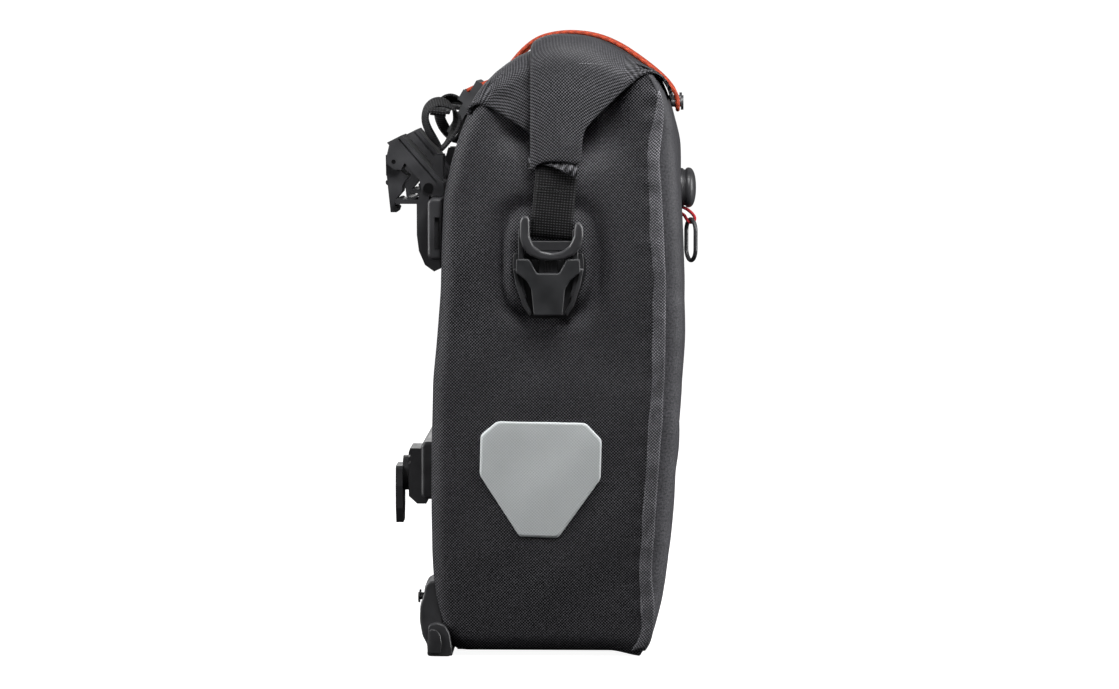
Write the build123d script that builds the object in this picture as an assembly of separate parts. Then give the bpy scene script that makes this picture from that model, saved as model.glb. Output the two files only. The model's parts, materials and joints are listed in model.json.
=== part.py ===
from build123d import *
import math
import os

os.makedirs("parts", exist_ok=True)

# Rear roll-top bicycle pannier.  Millimetres, +Z up, the rack side faces +Y, the outer face
# faces -Y, and "left" pieces are on -X.  The origin is the bottom centre of the whole bag.

# ---- driving dimensions -------------------------------------------------------------------
HALF_WIDTH_LOW = 115.0        # half width of the bag at FLARE_Z
FLARE_Z = 10.0
FLARE = 35.0 / 390.0          # growth of the half width per millimetre of height
WALL = 2.0                    # coated fabric with its welded lining
CORNER_R = 14.0               # vertical corners of the bag
ROOF_TOP_Z = 413.5
HOOD_Z = 371.0                # seam between the walls and the folded top
STRIP_Y = -11.7               # centre of the rolled closure
STRIP_WIDE = 31.0
STRIP_THICK = 7.0
STRIP_END_Z = 337.0
ROLL_BEND = 22.0              # bend of the roll over each shoulder
SHOULDER = 18.0               # how far the roof draws in from the side walls
BUCKLE_Y = -6.0
BUCKLE_TRAVEL = 20.0
RAIL_Z0, RAIL_Z1 = 271.0, 313.0
RAIL_Y0, RAIL_Y1 = 66.0, 76.3
RAIL_HALF = 118.0
HOOK_X = 80.0
HOOK_HALF = 22.0
SEAT_Y, SEAT_Z, SEAT_R = 89.2, 318.4, 6.0      # 12 mm rack tube
JAW_Y, JAW_Z = 100.5, 336.5
LOW_RAIL_Z0, LOW_RAIL_Z1 = 103.0, 143.0
LOW_RAIL_Y0, LOW_RAIL_Y1 = 73.0, 84.0
LOW_RAIL_HALF = 80.0
CLAW_Z = 112.0
BUTTON_Z = 315.5
RING_Y, RING_Z = -102.3, 292.5
CORD_R = 1.5
PEG_X, PEG_Z = 62.0, 376.0

# Height, front face and rear face of the bag.
PROFILE = [
    (0.0, -66.0, 58.0), (12.0, -71.5, 66.0), (40.0, -80.0, 72.0), (100.0, -88.0, 73.0),
    (190.0, -94.5, 71.6), (250.0, -96.4, 66.0), (310.0, -94.2, 66.0), (345.0, -92.4, 56.0),
    (371.0, -89.0, 48.0), (384.0, -84.5, 43.0), (394.0, -77.0, 36.0), (ROOF_TOP_Z, -29.0, 5.0),
]


# ---- helpers ------------------------------------------------------------------------------
def save(name, shape):
    export_step(shape, f"parts/{name}.step")


def save_pair(name, left):
    save(name + "_left", left)
    save(name + "_right", mirror(left, about=Plane.YZ))


def polygon(points):
    return make_face(Polyline(*points, close=True))


def slab(outline, x0, x1):
    """A YZ outline extruded along X."""
    return extrude(Plane.YZ.offset(x0) * outline, amount=x1 - x0)


def block(x0, x1, y0, y1, z0, z1):
    size = Box(x1 - x0, y1 - y0, z1 - z0)
    return Pos((x0 + x1) / 2, (y0 + y1) / 2, (z0 + z1) / 2) * size


def rod_y(x, z, y0, y1, radius):
    """A cylinder along Y."""
    return Pos(x, (y0 + y1) / 2, z) * Rot(90, 0, 0) * Cylinder(radius, y1 - y0)


def rod_x(y, z, x0, x1, radius):
    """A cylinder along X."""
    return Pos((x0 + x1) / 2, y, z) * Rot(0, 90, 0) * Cylinder(radius, x1 - x0)


def half_width(z):
    return HALF_WIDTH_LOW + (z - FLARE_Z) * FLARE


def front_y(z):
    return wall_y(z, 1)


def rear_y(z):
    return wall_y(z, 2)


def wall_y(z, column):
    for low, high in zip(PROFILE, PROFILE[1:]):
        if z <= high[0]:
            share = (z - low[0]) / (high[0] - low[0])
            return low[column] + share * (high[column] - low[column])
    return PROFILE[-1][column]


def underside_z(y):
    """The bottom of the bag rises from its front edge to the rear."""
    return (y + 66.0) * 8.0 / 126.0


def side_plane():
    """On the left side wall: x towards the front, y up the wall, z outwards."""
    tilt = math.atan(FLARE)
    outward = (-math.cos(tilt), 0, -math.sin(tilt))
    return Plane(origin=(-HALF_WIDTH_LOW, 0, FLARE_Z), x_dir=(0, -1, 0), z_dir=outward)


def on_side(outline, out0, out1):
    """An outline on the left side wall, from out0 to out1 off the fabric."""
    return extrude(side_plane().offset(out0) * outline, amount=out1 - out0)


def up_side(z):
    return (z - FLARE_Z) / math.cos(math.atan(FLARE))


# ---- fabric shell -------------------------------------------------------------------------
def section(z, inset):
    drop = inset if z > 380 or z == 0 else 0
    height = z - drop if z else z + drop
    _, front, rear = next(row for row in PROFILE if row[0] == z)
    tuck = SHOULDER if z == ROOF_TOP_Z else 0
    wide = 2 * (half_width(z) - tuck - inset)
    deep = rear - front - 2 * inset
    radius = min(CORNER_R, (rear - front) / 2 - 5) - inset
    return Pos(0, (front + rear) / 2, height) * RectangleRounded(wide, deep, radius)


def bag_solid(inset):
    return loft([section(row[0], inset) for row in PROFILE], ruled=True)


def below_underside(rise):
    edge = [(-140, underside_z(-140) + rise), (140, underside_z(140) + rise)]
    return slab(polygon(edge + [(140, -60), (-140, -60)]), -200, 200)


def shell():
    outer = bag_solid(0) - below_underside(0)
    inner = bag_solid(WALL) - below_underside(WALL)
    return outer, outer - inner


def fastener_holes():
    holes = [rod_y(x, z, 55, 80, 2.05) for x, z in top_screw_places() + low_screw_places()]
    holes += [rod_y(x, z, 55, 88, 1.55) for x, z in rivet_places()]
    return Compound(holes)


def make_shell():
    outer, skin = shell()
    bottom = skin & below_underside(WALL)
    walls = skin - below_underside(WALL)
    hood = walls & block(-200, 200, -140, 140, HOOD_Z, 440)
    walls = walls & block(-200, 200, -140, 140, -5, HOOD_Z)
    front = slab(polygon([(-140, -5), (-66, -5), (-82, 350), (-75, 380), (-140, 380)]), -200, 200)
    rear = slab(polygon([(140, -5), (48, -5), (58, 60), (56, 310), (34, 380), (140, 380)]), -200, 200)
    sides = walls - front - rear
    stud = rod_y(0, BUTTON_Z, -110, -80, 4.0)
    pegs = [rod_y(x, PEG_Z, -110, -70, 3.0) for x in (-PEG_X, PEG_X)]
    save("bottom_panel", bottom)
    save("front_panel", (walls & front) - stud)
    save("back_panel", (walls & rear) - fastener_holes())
    save("side_panel_left", sides & block(-200, 0, -140, 140, -5, 440))
    save("side_panel_right", sides & block(0, 200, -140, 140, -5, 440))
    save("top_hood", hood - pegs[0] - pegs[1])
    return outer


def make_back_board():
    """The plastic sheet inside the bag that carries both rails."""
    levels = [45, 100, 190, 250, 300]
    outside = [(rear_y(z) - WALL - 0.3, z) for z in levels]
    inside = [(y - 2.5, z) for y, z in reversed(outside)]
    board = slab(polygon(outside + inside), -98, 98)
    save("back_board", board - fastener_holes())


# ---- rolled closure and side straps -------------------------------------------------------
def roll_path(offset):
    """Half of the roll's centre line in XZ, from the middle of the top to its hanging end."""
    top = ROOF_TOP_Z + 0.3 + STRIP_THICK / 2 + offset
    lean = math.cos(math.atan(FLARE))
    gap = (STRIP_THICK / 2 + 1.5 + offset) / lean
    corner = (half_width(top) + gap, top)
    end = (half_width(STRIP_END_Z) + gap, STRIP_END_Z)
    return [(0, top), corner, end]


def roll_band(inner, outer, wide):
    """A band along the roll's path, between two offsets from its centre line."""
    far = FilletPolyline(*roll_path(outer), radius=ROLL_BEND + outer)
    near = FilletPolyline(*roll_path(inner), radius=ROLL_BEND + inner)
    ends = [Line(far @ place, near @ place) for place in (0, 1)]
    flat = extrude(make_face(far.edges() + near.edges() + ends), amount=wide, dir=(0, 0, 1))
    band = Pos(0, STRIP_Y + wide / 2, 0) * Rot(90, 0, 0) * flat
    return band + mirror(band, about=Plane.YZ)


def make_closure():
    half = STRIP_THICK / 2
    sleeve = roll_band(-half, half, STRIP_WIDE) - roll_band(-1.3, 1.3, STRIP_WIDE - 5)
    save("roll_closure", sleeve)
    span = half_width(ROOF_TOP_Z) - 30
    z = ROOF_TOP_Z + 0.3 + half
    save("closure_stiffener", block(-span, span, STRIP_Y - 12, STRIP_Y + 12, z - 0.8, z + 0.8))


def make_side_strap():
    top, low = up_side(STRIP_END_Z), 291.0
    x = -BUCKLE_Y + 1
    strap = on_side(Pos(x, (top + low) / 2) * Rectangle(28, top - low), 5.0, 6.6)
    save_pair("side_strap", strap)


# ---- side-release buckle ------------------------------------------------------------------
def buckle_place():
    return Pos(-BUCKLE_Y, 0)


def make_buckle_patch():
    points = [(-24.5, 268), (24.5, 268), (25, 255), (15, 224), (-15, 224), (-25, 255)]
    outline = buckle_place() * fillet(polygon(points).vertices(), 5)
    save_pair("buckle_patch", on_side(outline, 0, 1.2))


def make_buckle_receiver():
    points = [(-21.5, 262), (21.5, 262), (21, 250), (12.5, 225), (-12.5, 225), (-21, 250)]
    body = on_side(buckle_place() * fillet(polygon(points).vertices(), 3), 1.2, 9.6)
    cavity = on_side(buckle_place() * Pos(0, 254) * Rectangle(37, 24), 2.8, 7.2)
    body -= cavity
    for side in (-1, 1):
        window = Pos(side * 14.6, 244) * Rot(0, 0, -side * 12) * RectangleRounded(4.6, 15, 2)
        body -= on_side(buckle_place() * window, 3.0, 12)
    notch = polygon([(-12, 262.1), (12, 262.1), (8, 255.5), (-8, 255.5)])
    body -= on_side(buckle_place() * notch, 7.0, 12)
    save_pair("buckle_receiver", body)


def make_buckle_clip():
    base = Pos(0, 265.2) * Rectangle(40, 5.6)
    clip = on_side(buckle_place() * base, 1.9, 7.0)
    ring = Pos(0, 278) * RectangleRounded(41, 29, 12) - Pos(0, 282) * RectangleRounded(31, 29, 9)
    ring -= Pos(0, 297) * Rectangle(60, 12)
    clip += on_side(buckle_place() * ring, 7.0, 9.6)
    for side in (-1, 1):
        arm = Pos(side * 18, 277) * Rectangle(5, 24)
        clip += on_side(buckle_place() * arm, 1.9, 9.0)
        prong = Pos(side * 15, 254.5) * Rectangle(5, 16.4)
        clip += on_side(buckle_place() * prong, 3.2, 6.8)
    tongue = Pos(0, 255) * Rectangle(9, 15.4)
    clip += on_side(buckle_place() * tongue, 3.2, 6.8)
    bar = Pos(0, 274.5) * Rectangle(36, 4.4)
    clip += on_side(buckle_place() * bar, 1.9, 4.4)
    save_pair("buckle_clip", clip)


def make_reflector():
    half, top, low = 41.25, up_side(164), up_side(84)
    points = [(-30, top), (30, top), (half, top - 11), (half, top - 39)]
    points += [(13, low), (-13, low), (-half, top - 39), (-half, top - 11)]
    outline = fillet(polygon(points).vertices(), 2.5)
    save_pair("reflector", on_side(outline, 0, 0.6))


# ---- upper rail ---------------------------------------------------------------------------
def top_screw_places():
    return [(x, 292.0) for x in (-108.0, -36.0, 36.0, 108.0)]


def low_screw_places():
    return [(x, 123.0) for x in (-70.0, 70.0)]


def rivet_places():
    return [(side * x, z) for side in (-1, 1) for x, z in ((87.0, 38.0), (99.0, 38.0))]


def rail_outline(y0, y1, z0, z1, radius):
    outline = polygon([(y0, z0), (y1, z0), (y1, z1), (y0, z1)])
    front = [v for v in outline.vertices() if v.X > (y0 + y1) / 2]
    return fillet(front, radius)


def make_top_rail():
    outline = rail_outline(RAIL_Y0, RAIL_Y1, RAIL_Z0, RAIL_Z1, 4.5)
    for z in (RAIL_Z0 + 1.5, RAIL_Z1 - 1.5):
        outline -= Pos(69.75, z) * Rectangle(2.6, 3.2)
    rail = slab(outline, -RAIL_HALF, RAIL_HALF)
    for x, z in top_screw_places():
        rail -= rod_y(x, z, 60, 80, 2.05)
        rail -= rod_y(x, z, RAIL_Y1 - 4, RAIL_Y1 + 2, 4.2)
    for z in (280.0, 304.0):
        rail -= block(-RAIL_HALF - 1, RAIL_HALF + 1, RAIL_Y1 - 0.8, RAIL_Y1 + 1, z - 1.2, z + 1.2)
    save("top_rail", rail)
    cap = slab(rail_outline(RAIL_Y0, RAIL_Y1, RAIL_Z0, RAIL_Z1, 4.5), -RAIL_HALF - 7, -RAIL_HALF)
    cap = fillet(cap.faces().sort_by(Axis.X)[0].edges(), 2.5)
    cap -= block(-RAIL_HALF - 8, -RAIL_HALF - 4, 68, 71.5, 278, 300)
    save("top_rail_caps", Compound([cap, mirror(cap, about=Plane.YZ)]))


def screw(x, z, head_y, tail_y, head_r):
    return rod_y(x, z, head_y - 2.6, head_y, head_r) + rod_y(x, z, tail_y, head_y - 2.6, 2.0)


def nut(x, z, y0, y1):
    return rod_y(x, z, y0, y1, 6.0) - rod_y(x, z, y0 - 1, y1 + 1, 2.05)


def make_rail_screws():
    top = [screw(x, z, RAIL_Y1 - 1.2, 58.0, 3.9) for x, z in top_screw_places()]
    low = [screw(x, z, LOW_RAIL_Y1 - 1.2, 62.5, 3.9) for x, z in low_screw_places()]
    save("rail_screws", Compound(top + low))
    top = [nut(x, z, 58.6, 61.1) for x, z in top_screw_places()]
    low = [nut(x, z, 63.0, 67.6) for x, z in low_screw_places()]
    save("backing_nuts", Compound(top + low))


# ---- upper hooks --------------------------------------------------------------------------
HOOK = [
    (66.6, 313.4), (66.6, 322.0), (95.0, 354.5), (105.0, 349.5), (82.7, 324.0), (83.6, 312.0),
    (84.9, 308.0), (84.9, 287.0), (83.5, 276.0), (79.4, 266.5), (73.2, 262.0), (68.8, 264.0),
    (68.8, 273.6), (70.7, 273.6), (70.7, 270.6), (76.7, 270.6), (76.7, 313.4), (70.7, 313.4),
    (70.7, 310.4), (68.8, 310.4), (68.8, 313.4),
]
EARS = [(93.0, 335.8), (95.5, 331.0), (100.5, 331.3), (105.0, 335.0), (105.3, 340.0), (103.5, 347.8)]
LOOP_Y, LOOP_Z = 70.0, 338.0


def make_hook():
    x0, x1 = -HOOK_X - HOOK_HALF, -HOOK_X + HOOK_HALF
    liner_r = SEAT_R + 1.5
    outline = polygon(HOOK)
    outline += Pos(88.5, 309.4) * Rectangle(16, 3.0)
    outline += Pos(97.3, 309.6) * Circle(2.2)
    outline -= Pos(SEAT_Y, SEAT_Z) * Circle(liner_r)
    hook = slab(outline, x0, x1)
    for a, b in ((x0, x0 + 4.5), (x1 - 4.5, x1)):
        hook += slab(polygon(EARS), a, b)
    for a, b in ((-HOOK_X - 14.5, -HOOK_X - 12), (-HOOK_X + 12, -HOOK_X + 14.5)):
        hook += slab(polygon([(67.2, 322.5), (75.5, 332.0), (73.0, 341.0), (67.5, 341.0)]), a, b)
    hook += rod_x(LOOP_Y, LOOP_Z, -HOOK_X - 12, -HOOK_X + 12, 1.5)
    hook -= rod_x(JAW_Y, JAW_Z, x0 - 1, x1 + 1, 1.5)
    hook -= rod_x(76.8, 318.7, x0 - 1, x1 + 1, 2.05)
    groove = polygon([(70.5, 322.6), (96.5, 352.3), (97.6, 351.7), (71.6, 321.9)])
    hook -= slab(groove, x0 - 1, x0 + 0.7) + slab(groove, x1 - 0.7, x1 + 1)
    hook -= block(x0 + 9, x1 - 9, 80.5, 90, 284, 300)
    save_pair("hook", hook)


def make_seat_insert():
    x0, x1 = -HOOK_X - HOOK_HALF, -HOOK_X + HOOK_HALF
    ring = Circle(SEAT_R + 1.5) - Circle(SEAT_R)
    far = 12.0
    start, stop = math.radians(150), math.radians(290)
    sector = [(0, 0), (far * math.cos(start), far * math.sin(start)), (-far, far), (-far, -far)]
    sector += [(0, -far * 1.2), (far * math.cos(stop), far * math.sin(stop))]
    liner = ring & polygon(sector)
    save_pair("seat_insert", slab(Pos(SEAT_Y, SEAT_Z) * liner, x0 + 2, x1 - 2))


JAW = [
    (96.8, 338.5), (104.6, 338.0), (105.6, 327.0), (103.0, 302.0), (98.9, 302.0), (97.9, 304.8),
    (100.0, 306.5), (99.4, 311.0), (95.6, 315.5), (94.8, 319.5), (93.2, 323.4), (90.9, 326.6),
    (95.5, 330.0),
]


def make_jaw():
    x0, x1 = -HOOK_X - 17, -HOOK_X + 17
    outline = polygon(JAW) + Pos(JAW_Y, JAW_Z) * Circle(4.3)
    outline += polygon([(102.5, 327.0), (106.0, 327.0), (106.2, 341.0), (103.5, 341.0)])
    outline -= Pos(SEAT_Y, SEAT_Z) * Circle(SEAT_R + 0.05)
    jaw = slab(outline, x0, x1)
    jaw += rod_x(104.9, 322.0, x0 + 8, x1 - 8, 2.0)
    jaw -= rod_x(JAW_Y, JAW_Z, x0 - 1, x1 + 1, 1.56)
    jaw -= rod_x(JAW_Y, JAW_Z, -HOOK_X - 6.5, -HOOK_X + 6.5, 4.6)
    save_pair("jaw", jaw)


def make_jaw_hardware():
    x0, x1 = -HOOK_X - HOOK_HALF, -HOOK_X + HOOK_HALF
    save_pair("jaw_pin", rod_x(JAW_Y, JAW_Z, x0 + 0.2, x1 - 0.2, 1.5))
    coils = []
    for turn in range(5):
        x = -HOOK_X - 5.2 + 2.2 * turn
        ring = rod_x(JAW_Y, JAW_Z, x, x + 1.6, 3.4) - rod_x(JAW_Y, JAW_Z, x - 1, x + 3, 1.8)
        coils.append(ring)
    save_pair("jaw_spring", Compound(coils))
    bolt = rod_x(76.8, 318.7, x0 - 1.6, x1 + 1.6, 2.0)
    bolt += rod_x(76.8, 318.7, x0 - 1.6, x0, 3.5) + rod_x(76.8, 318.7, x1, x1 + 1.6, 3.5)
    save_pair("hook_bolt", bolt)


# ---- pull loops and handle ----------------------------------------------------------------
def teardrop(low_r, high_r):
    low = Pos(LOOP_Y, LOOP_Z) * Circle(low_r)
    high = Pos(69.5, 364.0) * Circle(high_r)
    return make_hull(low.edges() + high.edges())


def make_pull_loop():
    strap = teardrop(3.5, 12.3) - teardrop(1.9, 10.7)
    save_pair("pull_loop", slab(strap, -HOOK_X - 10, -HOOK_X + 10))


def make_handle():
    strap = block(-106, 106, 63.5, 75.5, 369.0, 372.2)
    for x0, x1 in ((-113, -106), (106, 113)):
        strap += block(x0, x1, 62.5, 76.5, 367.0, 374.0)
    save("carry_handle", strap)


# ---- cord bar, pegs and elastic cords -----------------------------------------------------
BAR_LOW, BAR_LONG, BAR_THICK = (66.0, 354.0), 41.0, 5.5
BAR_DIR = (-0.508, 0.8614)


def bar_point(along, out):
    y = BAR_LOW[0] + along * BAR_DIR[0] + out * BAR_DIR[1]
    z = BAR_LOW[1] + along * BAR_DIR[1] - out * BAR_DIR[0]
    return y, z


def bar_plate(a, b):
    half = BAR_THICK / 2
    return polygon([bar_point(a, -half), bar_point(b, -half), bar_point(b, half), bar_point(a, half)])


def make_cord_bar():
    bar = slab(bar_plate(21, BAR_LONG), -34, 34)
    foot = [bar_point(21, -2.75), bar_point(40, -2.75), (43.0, 384.0), (48.0, 371.0), (52.31, 357.0)]
    for x in (-30, 0, 30):
        bar += slab(polygon(foot), x - 1.5, x + 1.5)
    save("cord_bar", bar)
    trim = slab(bar_plate(0, 21), -34, 34)
    save("bar_trim", trim)
    anchors = []
    lug = [bar_point(23, 2.75), bar_point(31, 2.75), bar_point(31, 7.4), bar_point(23, 7.4)]
    for x in (-30, -8, 8, 30):
        anchors.append(slab(polygon(lug), x - 3.5, x + 3.5))
    save("cord_anchors", Compound(anchors))


def make_pegs():
    pegs = []
    for x in (-PEG_X, PEG_X):
        peg = rod_y(x, PEG_Z, -96.2, -80.6, 3.0) + rod_y(x, PEG_Z, -96.2, -94.4, 5.0)
        pegs.append(peg + rod_y(x, PEG_Z, -82.2, -80.6, 5.0))
    save("cord_pegs", Compound(pegs))


# Left elastic cord: from its lug on the bar over the roll, round a front peg and back.
CORD_ROUTE = [
    (-30.0, 54.2, 383.5), (-31.0, 48.5, 394.4), (-36.0, 31.5, 398.6), (-42.5, 10.0, 421.9),
    (-48.0, -11.0, 425.5), (-53.0, -32.0, 424.4), (-57.0, -51.0, 416.5), (-61.5, -70.0, 403.5),
    (-65.0, -84.5, 391.5), (-66.8, -92.2, 381.0), (-66.8, -92.2, 371.2), (-57.2, -92.2, 371.2),
    (-57.2, -92.2, 381.0), (-55.0, -84.5, 391.5), (-50.0, -70.0, 403.5), (-43.5, -51.0, 416.5),
    (-36.5, -32.0, 424.4), (-29.0, -11.0, 425.5), (-22.5, 10.0, 421.9), (-14.5, 31.5, 398.6),
    (-9.0, 48.5, 394.4), (-8.0, 54.2, 383.5),
]


def corner_radii(route):
    """Each arc takes 0.45 of the shorter of its two runs."""
    points = [Vector(*p) for p in route]
    radii = []
    for before, here, after in zip(points, points[1:], points[2:]):
        turn = (here - before).get_angle(after - here)
        shorter = min((here - before).length, (after - here).length)
        radii.append(0.45 * shorter / math.tan(math.radians(turn / 2)))
    return radii


def make_cord():
    radii = corner_radii(CORD_ROUTE)
    path = FilletPolyline(*CORD_ROUTE, radius=radii)
    start = Plane(origin=path @ 0, z_dir=path % 0)
    tube = sweep(start * Circle(CORD_R), path=path)
    print("cord radii", [round(r, 1) for r in radii])
    print("cord length", round(path.length, 1), "volume ratio",
          round(tube.volume / (math.pi * CORD_R ** 2 * path.length), 4))
    save_pair("elastic_cord", tube)


# ---- lower rail and claw ------------------------------------------------------------------
def make_lower_rail():
    outline = rail_outline(LOW_RAIL_Y0, LOW_RAIL_Y1, LOW_RAIL_Z0, LOW_RAIL_Z1, 4.0)
    outline -= Pos(81.0, 123.0) * Rectangle(8.0, 9.0)
    outline -= Pos(79.0, 123.0) * Rectangle(4.0, 17.0)
    rail = slab(outline, -LOW_RAIL_HALF + 6, LOW_RAIL_HALF - 6)
    for x, z in low_screw_places():
        rail -= rod_y(x, z, 60, 90, 2.05)
        rail -= rod_y(x, z, 79.0, 90, 4.2)
    save("lower_rail", rail)
    solid = rail_outline(LOW_RAIL_Y0, LOW_RAIL_Y1, LOW_RAIL_Z0, LOW_RAIL_Z1, 4.0)
    cap = slab(solid, -LOW_RAIL_HALF, -LOW_RAIL_HALF + 6)
    cap = fillet(cap.faces().sort_by(Axis.X)[0].edges(), 2.5)
    save("lower_rail_caps", Compound([cap, mirror(cap, about=Plane.YZ)]))


def make_carriage():
    body = polygon([(84.4, 91.5), (84.4, 131.0), (96.0, 131.0), (97.0, 128.0), (97.0, 97.0), (91.0, 91.5)])
    carriage = slab(body, -16, 16)
    carriage += block(-14, 14, 80.7, 84.4, 119.0, 127.0)
    carriage += block(-14, 14, 77.4, 80.7, 115.0, 131.0)
    for z in (121.0, 125.5):
        carriage -= block(-17, 17, 95.8, 98, z - 0.8, z + 0.8)
    carriage -= rod_y(0, CLAW_Z, 86, 100, 3.0)
    save("carriage", carriage)
    save("claw_pin", rod_y(0, CLAW_Z, 86.0, 104.0, 3.0) + rod_y(0, CLAW_Z, 104.0, 105.6, 4.6))


def claw_plate():
    points = [(-13, 118), (13, 118), (15, 104), (14, 88), (9, 77), (-9, 77), (-14, 88), (-15, 104)]
    face = fillet(polygon(points).vertices(), 3)
    return Pos(0, 106.4, 0) * Rot(90, 0, 0) * extrude(face, amount=5.0)


def make_claw():
    claw = claw_plate() + rod_y(0, CLAW_Z, 97.4, 101.6, 12.5)
    wedge = slab(polygon([(101.0, 84.0), (106.6, 79.0), (106.9, 100.0), (106.9, 116.0), (101.0, 116.0)]), -7, 7)
    claw += wedge
    claw -= rod_y(0, CLAW_Z, 90, 110, 3.06)
    claw -= rod_y(0, CLAW_Z, 103.95, 110, 4.7)
    save("claw", claw)


# ---- corner protectors --------------------------------------------------------------------
def make_protectors(outer):
    outline = polygon([(61.5, 0), (79.5, 0), (83.6, 10), (83.6, 32), (80.0, 47), (76.5, 51), (69, 51),
                       (69, 24), (61.5, 24)])
    body = slab(outline, -119.5, -79.0)
    body = body - outer
    for x, z in rivet_places()[:2]:
        body -= rod_y(x, z, 60, 90, 1.55)
    body = body.solids().sort_by(SortBy.VOLUME)[-1]
    save_pair("corner_protector", body)
    rivets = []
    for x, z in rivet_places():
        back = rear_y(z) - WALL
        rivet = rod_y(x, z, back - 1.4, 84.6, 1.5) + rod_y(x, z, 83.6, 84.8, 3.6)
        rivets.append(rivet + rod_y(x, z, back - 3.4, back - 1.4, 4.0))
    save("protector_rivets", Compound(rivets))


# ---- front button, ring cord and ring -----------------------------------------------------
def make_button():
    base = rod_y(0, BUTTON_Z, -98.2, -94.8, 14.5)
    upper = rod_y(0, BUTTON_Z, -101.0, -98.2, 12.4)
    crown = rod_y(0, BUTTON_Z, -104.3, -101.0, 10.8)
    crown = fillet(crown.faces().sort_by(Axis.Y)[0].edges(), 3.0)
    lug = block(-4.5, 4.5, -106.9, -98.2, 299.0, 304.0)
    button = base + upper + crown + lug
    button -= rod_y(0, BUTTON_Z, -100, -90, 4.0)
    save("front_button", button)
    stud = rod_y(0, BUTTON_Z, -100.0, -90.0, 4.0) + rod_y(0, BUTTON_Z, -90.0, -87.6, 9.0)
    save("button_stud", stud)


def make_ring_cord():
    leg = 3.35
    path = FilletPolyline((0, RING_Y - leg, 299.0), (0, RING_Y - leg, RING_Z - leg),
                          (0, RING_Y + leg, RING_Z - leg), (0, RING_Y + leg, 299.0), radius=leg - 0.01)
    start = Plane(origin=path @ 0, z_dir=path % 0)
    save("ring_cord", sweep(start * Circle(1.2), path=path))


def make_ring():
    wide, tall = 17.0, 29.0
    path = Plane.XZ * Pos(0, -tall / 2) * RectangleRounded(wide, tall, wide / 2 - 0.01)
    wire = path.face().outer_wire()
    start = Plane(origin=wire @ 0, z_dir=wire % 0)
    ring = sweep(start * Circle(1.5), path=wire)
    save("pull_ring", Pos(0, RING_Y, RING_Z) * Rot(0, 0, 22) * ring)


bag_outer = make_shell()
make_back_board()
make_closure()
make_side_strap()
make_buckle_patch()
make_buckle_receiver()
make_buckle_clip()
make_reflector()
make_top_rail()
make_rail_screws()
make_hook()
make_seat_insert()
make_jaw()
make_jaw_hardware()
make_pull_loop()
make_handle()
make_cord_bar()
make_pegs()
make_cord()
make_lower_rail()
make_carriage()
make_claw()
make_protectors(bag_outer)
make_button()
make_ring_cord()
make_ring()
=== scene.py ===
import json
import math

import bpy
import bmesh
import numpy as np
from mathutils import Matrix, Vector


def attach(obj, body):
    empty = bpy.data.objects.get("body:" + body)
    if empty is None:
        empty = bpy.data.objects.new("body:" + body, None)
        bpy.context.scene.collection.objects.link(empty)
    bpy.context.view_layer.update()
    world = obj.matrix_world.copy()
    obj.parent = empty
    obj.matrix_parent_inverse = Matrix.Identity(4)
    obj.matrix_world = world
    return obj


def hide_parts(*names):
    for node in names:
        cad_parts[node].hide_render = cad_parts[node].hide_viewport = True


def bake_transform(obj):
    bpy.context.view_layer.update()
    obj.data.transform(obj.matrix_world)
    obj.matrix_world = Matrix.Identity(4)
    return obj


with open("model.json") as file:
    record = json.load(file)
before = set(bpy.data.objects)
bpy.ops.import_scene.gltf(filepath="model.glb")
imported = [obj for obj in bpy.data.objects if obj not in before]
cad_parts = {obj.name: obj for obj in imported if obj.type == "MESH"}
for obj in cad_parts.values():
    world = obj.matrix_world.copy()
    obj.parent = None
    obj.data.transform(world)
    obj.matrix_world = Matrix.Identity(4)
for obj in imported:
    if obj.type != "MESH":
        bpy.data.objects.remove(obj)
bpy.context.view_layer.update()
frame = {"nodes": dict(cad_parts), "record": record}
NODES = frame["nodes"]

# Shapes are in millimetres in the frame's axes, +Z up, the rack side at +Y, the outer face at -Y.
# MM turns them into metres. Camera, lights and stage are in metres.
MM = 0.001
# The left side is at -X: a distance from the middle times -sign is a side's x.
SIDES = (("left", 1), ("right", -1))


def both_sides(*makers):
    for side, sign in SIDES:
        for make in makers:
            make(side, sign)


def placed(name, data):
    """A new object in the scene for the data."""
    made = bpy.data.objects.new(name, data)
    bpy.context.scene.collection.objects.link(made)
    return made


# ---- camera ----
AIM = Vector((0.0, -0.0094, 0.2035))
DISTANCE = 2.5
AZIMUTH, ELEVATION = math.radians(271.5), math.radians(5.0)
LENS, SENSOR_WIDTH, CLIP_END = 113.4, 36.0, 20.0


def make_camera():
    back = Vector((math.sin(AZIMUTH) * math.cos(ELEVATION),
                   -math.cos(AZIMUTH) * math.cos(ELEVATION), math.sin(ELEVATION)))
    data = bpy.data.cameras.new("camera")
    data.lens, data.sensor_width, data.clip_end = LENS, SENSOR_WIDTH, CLIP_END
    camera = placed("camera", data)
    camera.location = AIM + back * DISTANCE
    camera.rotation_mode = "QUATERNION"
    camera.rotation_quaternion = (-back).to_track_quat("-Z", "Y")
    bpy.context.scene.camera = camera


make_camera()

# ---- elastic cords ----
CORD_DIAMETER = 3.0
# From a lug on the rear bar to a front peg and back: x on the way there, x on the way back, y, z.
CORD_LEGS = [
    (-30, -8, 54.2, 383.5), (-31, -9, 48.5, 386.4), (-36, -14.5, 31.5, 392.4),
    (-42.5, -22.5, 10, 418.6), (-48, -29, -11, 424.6), (-53, -36.5, -32, 423.6),
    (-57, -43.5, -51, 416.5), (-61.5, -50, -70, 403.5), (-65, -55, -84.5, 391.5),
    (-66.8, -57.2, -92.2, 381), (-66.8, -57.2, -92.2, 371.2),
]


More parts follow.
